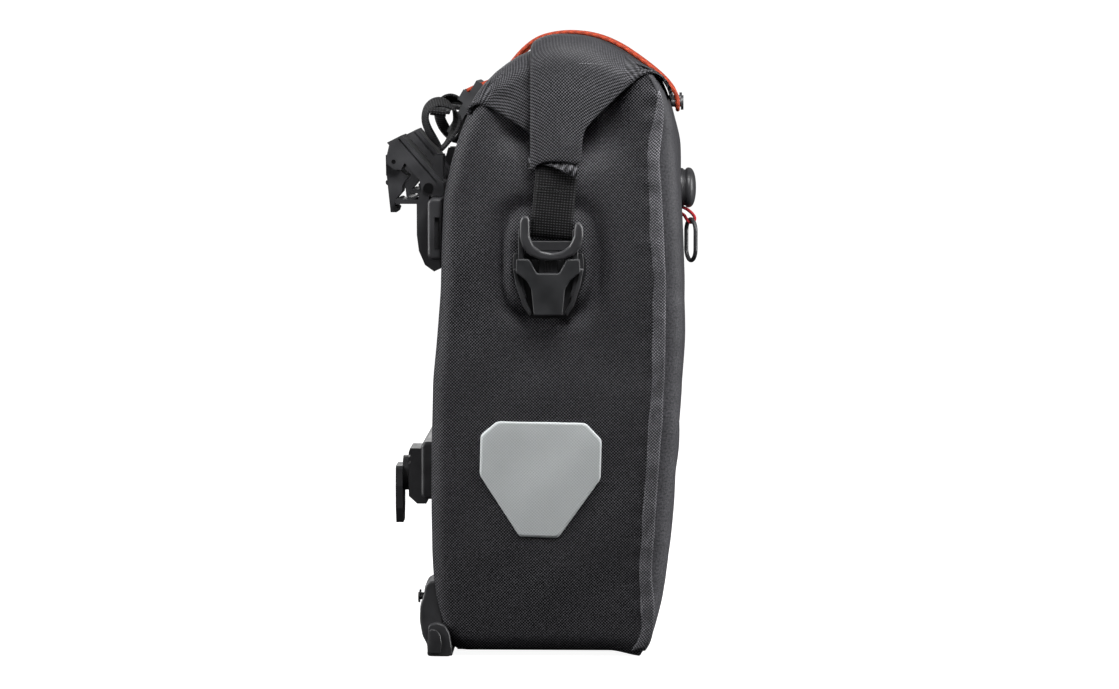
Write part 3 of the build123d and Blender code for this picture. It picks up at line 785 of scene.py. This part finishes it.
def smooth_columns(table, count):
    """A sheet's rows, evenly spaced along its cross-section and with softened corners."""
    table = np.array([(*row, 0.0)[:4] for row in table])
    weight = np.hypot(np.diff(table[:, 0]), 0.3 * np.diff(table[:, 1])) + 0.25 * np.abs(np.diff(table[:, 2]))
    length = np.concatenate([[0], np.cumsum(weight + 0.5 * np.abs(np.diff(table[:, 3])))])
    place = np.linspace(0, length[-1], count)
    return softened(np.stack([np.interp(place, length, table[:, k]) for k in range(4)], axis=1), 3)


def drape(columns, bend_most, reaches, sign):
    """One end of a folded sheet: out along the roof, over a soft bend, down to a rolled edge."""
    shape = (len(columns), ROOF_POINTS + DROP_POINTS + CURL_POINTS + TAIL_POINTS)
    grid, cloth = np.zeros((*shape, 3)), np.zeros((*shape, 2))
    way = math.copysign(1, columns[-1, 0] - columns[0, 0])
    along_roof = columns[0, 0] + way * lengths(columns[:, :2])
    for i, (y, roof, edge, depth) in enumerate(columns):
        drop, reach = max(roof - edge, 0.0), float(np.interp(y, *reaches))
        bend = min(bend_most, drop * 0.9 + 0.3)
        flat = reach - bend
        run = [(0.0, 0.0), (flat * 0.75, 0.0)]
        run += [(flat + bend * math.sin(a), bend * (1 - math.cos(a)))
                for a in np.linspace(0, math.pi / 2, 16)]
        if drop > bend + 1:
            run += [(reach - 0.03 * (drop - bend) * t, bend + (drop - bend) * t)
                    for t in np.linspace(0.08, 1, 12)]
        run = np.array(run)
        length = lengths(run)
        places = np.concatenate([np.linspace(0, flat, ROOF_POINTS + 1)[:-1],
                                 np.linspace(flat, length[-1], DROP_POINTS)])
        x, fall = np.interp(places, length, run[:, 0]), np.interp(places, length, run[:, 1])
        dx, dz = np.gradient(x, places), np.gradient(-fall, places)
        size = np.hypot(dx, dz)
        out_x, out_z = -dz / size, dx / size
        curl = CURL * min(1.0, drop / 12.0) * (1.0 if depth < 1 else 0.3)
        k = np.arange(1, CURL_POINTS + TAIL_POINTS + 1)
        angle = np.minimum(k, CURL_POINTS) / CURL_POINTS * math.pi
        back = np.maximum(0, k - CURL_POINTS) * TAIL_STEP * min(1.0, drop / 14.0)
        inward, along = curl * (1 - np.cos(angle)), curl * np.sin(angle) - back
        tail_x = x[-1] - out_x[-1] * inward + dx[-1] / size[-1] * along
        tail_z = -fall[-1] - out_z[-1] * inward + dz[-1] / size[-1] * along
        x = np.concatenate([x - out_x * depth, tail_x - out_x[-1] * depth])
        z = np.concatenate([roof - fall - out_z * depth, roof + tail_z - out_z[-1] * depth])
        hem = (places[-1] - places - HEM_UP) / HEM_WIDTH
        sunk = HEM_DEPTH * np.exp(-hem ** 2) * min(1.0, drop / 10.0) * (depth < 1) * (y < HEM_Y)
        x[:len(places)] -= out_x * sunk
        z[:len(places)] -= out_z * sunk
        grid[i, :, 0], grid[i, :, 1], grid[i, :, 2] = -sign * x, y, z
        out = np.concatenate([places, places[-1] + k])
        hanging = step(out, flat, flat + 26)
        cloth[i, :, 0] = -sign * out
        cloth[i, :, 1] = y + (along_roof[i] - y) * (1 - hanging)
    return grid, cloth


def roof_sag(x, y):
    """How far the roof sinks between its ends, most behind the roll."""
    behind = 0.2 + 6.4 * step(y, -2, 22) * (1 - step(y, 40, 48))
    return (1 - np.clip(np.abs(x) / 128.0, 0, 1) ** 2.5) * behind


def folded_sheet(name, table, reaches, bend, count, seed, flip=False):
    """Both ends of a folded sheet and the roof between them, softly wrinkled."""
    columns = smooth_columns(table, count)
    left, right = (drape(columns, bend, reaches, sign) for _, sign in SIDES)
    grid, cloth = (np.concatenate([a[:, ::-1], b[:, 1:]], axis=1) for a, b in zip(left, right))
    wrinkle = smooth_noise(grid.shape[:2], (5, 14), seed)
    side = step(np.abs(grid[..., 0]), 112, 140)
    grid[..., 2] -= 0.6 * np.abs(wrinkle) * (1 - side) + roof_sag(grid[..., 0], grid[..., 1])
    grid[..., 0] -= np.sign(grid[..., 0]) * 1.3 * np.abs(wrinkle) * side
    return grid_object(name, grid, cloth, flip=flip)


# Below this height the inner turn's ends clear the outer layer's edge, and stand out.
FLAP_TOP, FLAP_OUT = 338.0, 2.3


def make_folded_top():
    outer = thick(folded_sheet("front_sheet", FRONT_SHEET, FRONT_REACH, 20.0, 96, 62), FABRIC)
    finish(outer, "bag", "fabric_side", "top_hood", "roll_closure", "closure_stiffener")
    inner = folded_sheet("inner_turn", INNER_TURN, FRONT_REACH, 20.0, 44, 63)
    for vertex in inner.data.vertices:
        below = step(FLAP_TOP - vertex.co.z / MM, 0.0, 5.0)
        vertex.co.x += math.copysign(FLAP_OUT * MM * below, vertex.co.x)
    finish(thick(inner, 1.0), "bag", "fabric_side")
    rear = thick(folded_sheet("rear_sheet", REAR_SHEET, REAR_REACH, 18.0, 70, 64, flip=True), FABRIC)
    finish(rear, "bag", "fabric_side")


make_folded_top()


# ---- weld bands ----
def side_frame(x_in, v, n, sign):
    """A place given on a side wall: x_in = -y, v up the wall from z 10, n out of it."""
    slope = math.atan(FLARE)
    x = HALF_WIDTH_LOW + v * math.sin(slope) + n * math.cos(slope)
    z = FLARE_Z + v * math.cos(slope) - n * math.sin(slope)
    return (-sign * x, -x_in, z)


# The band starts BAND_LEAD in front of the seam.
BAND_TOP, BAND_WIDTH, BAND_LEAD, BAND_THICK = 386, 9.5, 3.0, 0.7


def make_weld_band(side, sign):
    """The welded overlap behind the front corner, slightly wavy and lighter than the weave, partly through a
    painted highlight on its convex fold.
    """
    levels = np.linspace(4, BAND_TOP, 150)
    across = np.linspace(0, 1, 9)
    grid = np.zeros((len(levels), len(across), 3))
    waver = smooth_noise((len(levels), len(across)), (24, 2), 81 + int(sign))
    for i, z in enumerate(levels):
        width = BAND_WIDTH * (1 - 0.5 * step(z, 350, BAND_TOP))
        y = seam_y(z) - BAND_LEAD + width * across
        rise = 0.9 * np.sin(math.pi * across) ** 0.7 + 0.35 * waver[i]
        fade = 1 - step(z, 362, BAND_TOP)
        side_x = gusset_x(y, z, sign)
        wall = np.where(y < seam_y(z) + 1.0, np.maximum(side_x, half_width(z)), side_x)
        sunk = 1.4 * step(z, 376, BAND_TOP)
        grid[i, :, 0] = -sign * (wall + 0.5 - 0.9 * across + rise * (0.3 + 0.7 * fade) - sunk)
        grid[i, :, 1] = y + 0.25 * waver[i, 4]
        grid[i, :, 2] = z
    piece = thick(grid_object(f"weld_band_{side}", grid, flip=sign > 0), BAND_THICK)
    finish(piece, "bag", "fabric_front", material=BAND)


both_sides(make_weld_band)


# ---- straps, loops and handle ----
STRIP_STEP, STRAP_WIDTH, LOOP_WIDTH, WEBBING_THICK = 1.4, 28.0, 19.0, 1.5
# Places for side_frame: down from the roll's end, round the clip's bar and up behind it.
STRAP = [(13.4, 352.0, 5.4), (12.8, 340.0, 5.6), (12.0, 329.0, 6.0), (11.0, 318.0, 6.0), (9.8, 306.0, 6.0),
         (8.6, 294, 5.9), (8.1, 287, 5.7), (7.9, 282, 5.5), (7.8, 279.2, 4.9), (7.8, 277.9, 3.4),
         (7.8, 279.0, 1.7), (7.8, 283.0, 1.35)]


def strip_object(name, path, across, width, thickness):
    """Webbing along a path: across gives the direction of its width at each point."""
    path, across = np.array(path, float), np.array(across, float)
    length = lengths(path)
    place = np.linspace(0, length[-1], int(length[-1] / STRIP_STEP))
    line, wide = (softened(np.stack([np.interp(place, length, rows[:, k]) for k in range(3)], axis=1), 4)
                  for rows in (path, across))
    wide /= np.linalg.norm(wide, axis=1)[:, None]
    aside = np.linspace(-0.5, 0.5, 9) * width
    grid = line[:, None, :] + wide[:, None, :] * aside[None, :, None]
    cloth = np.zeros(grid.shape[:2] + (2,))
    cloth[..., 0], cloth[..., 1] = place[:, None], aside[None, :]
    return thick(grid_object(name, grid, cloth), thickness, 0.0)


def follow_clip(piece):
    """Bakes the piece's placement into its mesh; it is tied to neither the bag nor the clip."""
    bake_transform(piece)


def make_side_strap(side, sign):
    path = [side_frame(x, v, n, sign) for x, v, n in STRAP]
    wide = [(0.0, 1.0, 0.09)] * len(path)
    strap = strip_object(f"side_webbing_{side}", path, wide, STRAP_WIDTH, WEBBING_THICK)
    finish(strap, None, "webbing", f"side_strap_{side}")
    follow_clip(strap)


# ---- side-release buckles ----
# The buckle's middle, in front of the bag's.
BUCKLE_X = 5.6


def mirrored(points):
    """A closed outline from its right half, whose first and last points lie near the middle."""
    return [(-x, v) for x, v in reversed(points)] + list(points)


def plate(name, outline, radius, n0, n1, edge, place, steps=3):
    """A moulded plate with rounded edges: outline in (a, b), n0 to n1 thick, put where place says."""
    data = bpy.data.curves.new(name, "CURVE")
    data.dimensions, data.fill_mode = "2D", "BOTH"
    data.extrude, data.bevel_depth, data.bevel_resolution = (n1 - n0) / 2 - edge, edge, 2
    data.offset = -edge
    ring = rounded_outline(outline, radius, steps)
    spline = data.splines.new("POLY")
    spline.points.add(len(ring) - 1)
    for spot, (a, b) in zip(spline.points, ring):
        spot.co = (a, b, 0.0, 1.0)
    spline.use_cyclic_u = True
    source = bpy.data.objects.new(name, data)
    mesh = bpy.data.meshes.new_from_object(source)
    bpy.data.objects.remove(source)
    bpy.data.curves.remove(data)
    build = bmesh.new()
    build.from_mesh(mesh)
    bmesh.ops.remove_doubles(build, verts=build.verts, dist=1e-4)
    for vertex in build.verts:
        a, b, n = vertex.co
        vertex.co = [c * MM for c in place(a, b, (n0 + n1) / 2 + n)]
    bmesh.ops.recalc_face_normals(build, faces=build.faces)
    build.to_mesh(mesh)
    build.free()
    shade(mesh, False)
    return placed(name, mesh)


def from_bmesh(name, build):
    mesh = bpy.data.meshes.new(name)
    build.to_mesh(mesh)
    build.free()
    return placed(name, mesh)


def joined(name, pieces):
    """One object from several, keeping their order."""
    build = bmesh.new()
    for piece in pieces:
        build.from_mesh(piece.data)
        old = piece.data
        bpy.data.objects.remove(piece)
        bpy.data.meshes.remove(old)
    return from_bmesh(name, build)


# Outlines for side_frame, from BUCKLE_X.
FACE = mirrored([
    (7.4, 255.6), (12.6, 265.2), (21.2, 265.2), (21.5, 256), (18.2, 253.8), (14, 250.2), (11.2, 244.6),
    (10.4, 236), (9.6, 227.2),
])
TRAY = mirrored([(12.0, 263.5), (23.0, 269.5), (24.0, 258.0), (21.0, 246.0), (16.6, 232.0), (11.0, 225.8)])
LIP = [
    (12.5, 226.4), (17, 233), (21.6, 247), (23.6, 258), (20.6, 258.4), (18.6, 248), (14.4, 235),
    (11, 228.4),
]
PRONG = [
    (19.6, 260), (20.4, 253), (19.4, 245), (16.6, 238.6), (14.2, 238.4), (15.8, 245), (16.6, 252),
    (15.8, 260),
]
CLIP_RING = [
    (-18.6, 291), (-18.8, 280.4), (-17.2, 273.6), (-12.2, 267.8), (-5, 264.9), (2.4, 264.2), (9.8, 264.9),
    (17, 267.8), (22, 273.6), (23.5, 280.4), (23.4, 286.6), (21.4, 290.2), (18.6, 290), (17.6, 286),
    (17.3, 280.6), (14.4, 274.4), (9.4, 270.6), (2.4, 269.3), (-4.4, 270.6), (-9.6, 274.4), (-12.2, 280.6),
    (-12.2, 291.6), (-13.4, 294.4), (-16.8, 294.2),
]


def box_outline(x0, x1, v0, v1):
    return [(x0, v0), (x1, v0), (x1, v1), (x0, v1)]


def make_buckle(side, sign):
    """The receiver's base and face, which stay on the bag, and the clip with its prongs."""
    def at(x, v, n):
        return side_frame(BUCKLE_X + x, v, n, sign)

    tray = plate("tray", TRAY, 3.0, 1.1, 2.1, 0.3, at)
    floor_block = plate("floor_block", box_outline(-9.8, 9.8, 227.6, 249.0), 1.6, 2.0, 6.4, 0.4, at)
    lips = [plate("lip", [(e * x, v) for x, v in LIP][::e], 0.5, 1.9, 6.6, 0.9, at) for e in (1, -1)]
    base = joined(f"receiver_base_{side}", [tray, floor_block, *lips])
    finish(base, "bag", "black_plastic")
    face = joined(f"receiver_face_{side}", [plate("face", FACE, 1.4, 5.6, 9.6, 0.9, at, steps=4)])
    finish(face, "bag", "dark_grey_plastic", f"buckle_receiver_{side}")

    ring = plate("ring", CLIP_RING, 1.2, 6.0, 10.4, 1.7, at, steps=4)
    bridge = plate("bridge", box_outline(-17.5, 17.5, 270.4, 276.8), 1.0, 2.2, 5.2, 0.5, at)
    ladder = plate("ladder", box_outline(-18.0, 18.0, 279.9, 283.0), 0.6, 2.3, 4.4, 0.5, at)
    arms = [plate("arm", box_outline(*sorted((e * 16.2, e * 20.0)), 258.0, 284.5), 1.0, 2.2, 7.0, 0.6, at)
            for e in (1, -1)]
    prongs = [plate("prong", [(e * x, v) for x, v in PRONG][::-e], 1.0, 2.3, 5.4, 0.8, at) for e in (1, -1)]
    tongue = plate("tongue", box_outline(-6.4, 6.4, 251.6, 270.8), 1.0, 2.5, 4.9, 0.5, at)
    ribs = [plate("rib", box_outline(x - 0.55, x + 0.55, 256.5, 264.0), 0.3, 4.7, 5.4, 0.2, at)
            for x in (-2, 0, 2)]
    clip = joined(f"clip_{side}", [ring, bridge, ladder, *arms, *prongs, tongue, *ribs])
    finish(clip, f"buckle_{side}_body", "black_plastic", f"buckle_clip_{side}")


# ---- stitches ----
def stitches(name, places, long, wide):
    """Short stitches along Y, each a small rounded bead."""
    build = bmesh.new()
    turn = Vector((0, 1, 0)).to_track_quat("X", "Z").to_matrix().to_4x4()
    for place in places:
        made = bmesh.ops.create_uvsphere(build, u_segments=8, v_segments=6, radius=1.0)
        for vertex in made["verts"]:
            x, y, z = vertex.co
            local = Vector((x * long / 2, y * wide / 2, z * wide / 2))
            vertex.co = (turn @ local + Vector(place)) * MM
    row = from_bmesh(name, build)
    shade(row.data, True)
    return row


def make_strap_stitches(side, sign):
    """Two rows across the strap, above the clip."""
    places = [side_frame(10.0 + x, 310.5 + dv, 6.9, sign)
              for dv in (0.0, 3.0) for x in np.arange(-11, 11.1, 2.2)]
    row = stitches(f"strap_stitch_{side}", places, 1.5, 0.5)
    finish(row, None, "webbing", material=THREAD)
    follow_clip(row)


# ---- pull loops and handle ----
# y, z, then how far the band's far edge leads its near edge in y and in z.
LOOP = [
    (69.5, 344.5, 0.1, 0.1), (72.2, 348, 0.34, 0.1), (76.2, 354, 0.42, 0.08), (79.6, 361, 0.34, 0.08),
    (80.6, 366.5, 0.26, 0.12), (79.4, 372, 0.2, 0.22), (75.2, 376, 0.14, 0.28), (69.6, 377, 0.12, 0.3),
    (63.6, 375, 0.16, 0.26), (59.2, 370.4, 0.26, 0.14), (58, 364.6, 0.32, 0.04), (59.8, 358, 0.3, 0),
    (63.4, 351.6, 0.2, 0.04), (67, 346.6, 0.1, 0.08), (69.5, 344.5, 0.1, 0.1),
]


HOOK_X, HANDLE_Y, HANDLE_Z, HANDLE_WIDE = 80.0, 69.5, 370.4, (0.0, 1.0, 0.12)
# The doubled end: distance from the middle, z.
HANDLE_END = [(110.5, 368.8), (116.4, 368.4), (117.8, 370.6), (116.4, 372.8), (110.5, 372.4)]


def make_pull_loop(side, sign):
    """Ribbed loop that stands on its hook, leaning and turned a little out of its plane."""
    ring = [(-sign * HOOK_X, y, z) for y, z, _, _ in LOOP]
    wide = [(1.0, sign * lead, sign * rise) for _, _, lead, rise in LOOP]
    loop = strip_object(f"loop_webbing_{side}", ring, wide, LOOP_WIDTH, WEBBING_THICK)
    finish(loop, f"hook_{side}_body", "webbing", f"pull_loop_{side}")


def make_carry_handle():
    """Webbing through both loops, doubled at its ends."""
    path = [(x, HANDLE_Y + 1.5 * math.cos(x / 34), HANDLE_Z + 0.8 * math.cos(x / 23))
            for x in np.linspace(-112, 112, 60)]
    handle = strip_object("handle_webbing", path, [HANDLE_WIDE] * len(path), 9.6, 1.9)
    finish(handle, "bag", "webbing", "carry_handle")
    for side, sign in SIDES:
        ends = [(-sign * x, HANDLE_Y, z) for x, z in HANDLE_END]
        stop = strip_object(f"handle_end_{side}", ends, [HANDLE_WIDE] * len(ends), 10.4, 1.8)
        finish(stop, "bag", "webbing")


make_carry_handle()
both_sides(make_side_strap, make_strap_stitches, make_pull_loop)


# ---- reflectors ----
# y and z on the side's wall.
FILM_OUTLINE = [(-30.6, 161.8), (29.2, 163.0), (40.6, 153.3), (41.4, 125.9), (14.4, 83.4), (-11.6, 82.5),
                (-40.5, 123.4), (-41.3, 150.5)]
FILM_MIDDLE = np.array([0.0, 126.0])
# The film stands out of the wall and its rim is sunk into it.
FILM_OUT, RIM_IN = 0.8, -0.3


def make_reflector(side, sign):
    """Eight-sided film patch, following the wall it is bonded to."""
    rim = rounded_outline(FILM_OUTLINE, 2.4)
    shares = np.concatenate([[1.0], np.linspace(0.995, 0.04, 24)])
    flat = FILM_MIDDLE + (rim - FILM_MIDDLE)[None] * shares[:, None, None]
    y, z = flat[..., 0], flat[..., 1]
    x = gusset_x(y, z, sign) + np.where(shares == 1.0, RIM_IN, FILM_OUT)[:, None]
    points = np.stack([-sign * x, y, z], axis=-1)
    piece = grid_object(f"reflector_film_{side}", points, flat, wrap=True, flip=sign < 0, cap=True)
    finish(piece, "bag", "reflective", f"reflector_{side}")


both_sides(make_reflector, make_buckle)


# ---- corner protectors ----
# y and z of each outline.
PROTECTOR = [(69.0, 51.0), (76.0, 51.0), (79.4, 48.5), (80.2, 42.5), (82.8, 34.5), (83.2, 24.0), (81.4, 13.5),
             (78.2, 7.5), (78.0, 1.6), (76.0, 0.2), (66.0, 0.2), (66.0, 12.0)]
FOOT_TAB = [(77.8, 0.3), (61.6, 0.2), (60.8, 5.0), (62.6, 16.5), (65.8, 21.6), (71.0, 23.4), (77.0, 21.5)]
TAB_RIB = [(76.0, 2.2), (68.6, 2.2), (67.8, 9.0), (68.6, 15.0), (71.4, 18.6), (76.0, 19.2)]


def make_protector(side, sign):
    """Corner foot: a bowed back shell with a tab that wraps the side, and a rib along its edge."""
    def at(y, z, n):
        return (-sign * n, y, z)

    shell = plate("shell", PROTECTOR, 2.0, 79.2, 112.6, 1.6, at, steps=4)
    inner = plate("inner", box_outline(60.5, 77.0, 0.3, 3.0), 1.2, 79.2, 116.0, 0.5, at)
    tab = plate("tab", FOOT_TAB, 2.2, 110.0, 118.4, 0.9, at, steps=4)
    rib = plate("rib", TAB_RIB, 1.6, 117.8, 119.3, 0.6, at, steps=4)
    foot = joined(f"corner_foot_{side}", [shell, inner, tab, rib])
    finish(foot, "bag", "black_plastic", f"corner_protector_{side}")


both_sides(make_protector)


# ---- front button and its ring ----
BUTTON_Z = 315.0
# Distance in front of the middle plane, and radius.
BUTTON_PROFILE = [(93.0, 13.6), (96.4, 13.9), (97.2, 12.8), (98.2, 12.6), (98.9, 13.9), (100.6, 14.3),
                  (102.6, 13.6), (104.2, 11.4), (105.2, 8.0), (105.7, 4.0), (105.8, 0.4)]
RING_CORD_RADIUS = 1.15
RING_CORD = [(-1.6, -93.5, 302.0), (-1.6, -97.6, 301.0), (-1.3, -102.4, 297.6), (-0.4, -105.2, 294.0),
             (0.2, -104.6, 290.8), (0.8, -101.6, 290), (1.4, -99, 292.6), (1.7, -97.4, 296),
             (1.7, -93.5, 297.4)]


def rounded_profile(points):
    """The profile with its corners cut twice over."""
    for _ in range(2):
        cut = [points[0]]
        for (a, b), (c, d) in zip(points[:-1], points[1:]):
            cut += [(0.75 * a + 0.25 * c, 0.75 * b + 0.25 * d), (0.25 * a + 0.75 * c, 0.25 * b + 0.75 * d)]
        points = cut + [points[-1]]
    return points


def make_button():
    """Turned button: a base, a neck groove and a softly domed cap."""
    turns = np.linspace(0, 2 * math.pi, 65)[:-1]
    grid = np.array([[(r * math.cos(a), -out, BUTTON_Z + r * math.sin(a)) for a in turns]
                     for out, r in rounded_profile(BUTTON_PROFILE)])
    button = grid_object("button_cap", grid, grid[..., [0, 2]], wrap=True, cap=True, flip=True)
    finish(button, "bag", "black_plastic", "front_button")


def make_ring_cord():
    """Short red cord, from the panel below the button round the ring and back."""
    curve = nurbs_curve("ring_cord_loop", RING_CORD, RING_CORD_RADIUS)
    finish(curve, "bag", "red_cord", "ring_cord")


make_button()
make_ring_cord()


# ---- bar tacks ----
# A ray from this far out finds a side's outer face.
OUTSIDE = 300.0
TACK_Y, TACK_Z = np.arange(-41.0, -26.9, 1.75), 403.4


def surface_place(piece, y, z, sign, proud):
    """The outermost place of a piece at (y, z) on one side, in millimetres."""
    origin, way = Vector((-sign * OUTSIDE * MM, y * MM, z * MM)), Vector((sign, 0.0, 0.0))
    hit, place, normal, _ = piece.ray_cast(origin, way)
    return [c / MM for c in place + normal * (proud * MM)] if hit else None


def make_roof_tacks(side, sign):
    """A row of stitches on the front sheet's end, above the strap."""
    sheet = bpy.data.objects["front_sheet"]
    spots = [surface_place(sheet, y, TACK_Z + 0.04 * (y + 27), sign, 0.1) for y in TACK_Y]
    row = stitches(f"roof_tack_{side}", [spot for spot in spots if spot], 1.2, 0.5)
    finish(row, "bag", "fabric_side", material=PALE_THREAD)


both_sides(make_roof_tacks)
